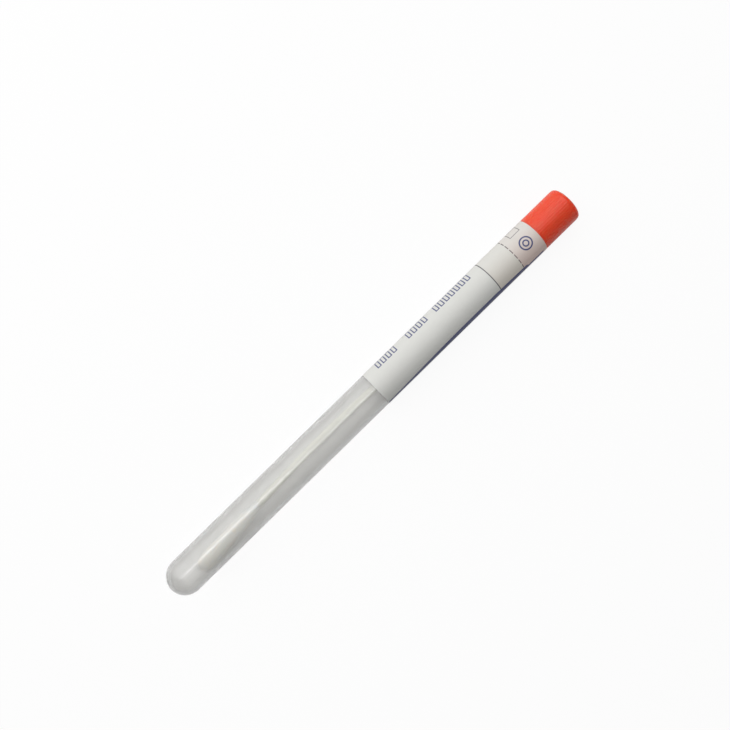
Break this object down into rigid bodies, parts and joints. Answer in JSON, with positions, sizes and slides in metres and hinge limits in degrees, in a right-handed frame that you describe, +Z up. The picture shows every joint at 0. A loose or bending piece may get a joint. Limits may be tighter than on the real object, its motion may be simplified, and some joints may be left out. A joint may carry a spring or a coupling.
{
  "type": "specimen swab tube",
  "caption": "Round-bottomed frosted tube with a paper label, closed by a ribbed plug cap that carries a fibre-tipped swab.",
  "frame": {"origin": "middle of the tube lying on its side, at the surface that it lies on", "axes": "+X along the tube's axis toward the cap, +Z up"},
  "size_m": [0.175, 0.0122, 0.0123],
  "materials": {
    "frosted_plastic": "frosted, translucent polypropylene",
    "cap_plastic": "glossy moulded red-orange",
    "stick_plastic": "satin cream",
    "wound_fibre": "wound off-white fibre",
    "label_paper": "matte white paper with dark blue print"
  },
  "bodies": {
    "tube": {"tube": "frosted_plastic", "label": "label_paper"},
    "cap": {"cap": "cap_plastic", "swab_shaft": "stick_plastic", "swab_tip": "wound_fibre", "seal_band": "label_paper"}
  },
  "joints": [
    {"name": "cap_pull", "type": "slide", "parent": "tube", "child": "cap", "axis": [1, 0, 0], "range_m": [0, 0.16]}
  ]
}
